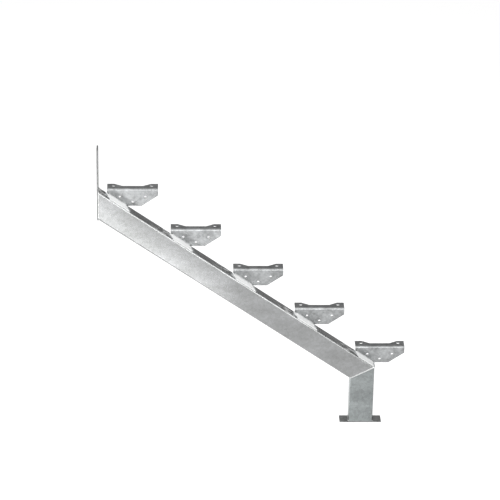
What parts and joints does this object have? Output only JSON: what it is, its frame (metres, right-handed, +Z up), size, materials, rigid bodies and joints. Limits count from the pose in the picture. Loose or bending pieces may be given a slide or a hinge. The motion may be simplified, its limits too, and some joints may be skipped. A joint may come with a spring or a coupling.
{
  "type": "stair stringer",
  "caption": "Welded galvanised steel stair stringer: a sloping rectangular tube on a mitred foot, with a hanger plate at its head and folded brackets that carry the treads.",
  "frame": {"origin": "middle of the base plate's underside, under the foot post's centre line", "axes": "+X level, down the stair; +Y level, from the tube's outer side to the side that carries the treads; +Z up"},
  "size_m": [1.2385, 0.1017, 1.2118],
  "materials": {
    "galvanised_tube": "hot-dip galvanised, fine spangle, soft sheen",
    "galvanised_plate": "hot-dip galvanised flat bar",
    "galvanised_sheet": "hot-dip galvanised folded sheet",
    "galvanised_weld": "weld bead under the same zinc coat"
  },
  "bodies": {
    "root": {"stringer_beam": "galvanised_tube", "foot_post": "galvanised_tube", "base_plate": "galvanised_plate", "hanger_plate": "galvanised_plate", "mitre_weld": "galvanised_weld", "hanger_weld": "galvanised_weld", "base_welds": "galvanised_weld", "tread_bracket_1": "galvanised_sheet", "tread_bracket_2": "galvanised_sheet", "tread_bracket_3": "galvanised_sheet", "tread_bracket_4": "galvanised_sheet", "tread_bracket_5": "galvanised_sheet", "bracket_welds_1": "galvanised_weld", "bracket_welds_2": "galvanised_weld", "bracket_welds_3": "galvanised_weld", "bracket_welds_4": "galvanised_weld", "bracket_welds_5": "galvanised_weld"}
  },
  "joints": []
}
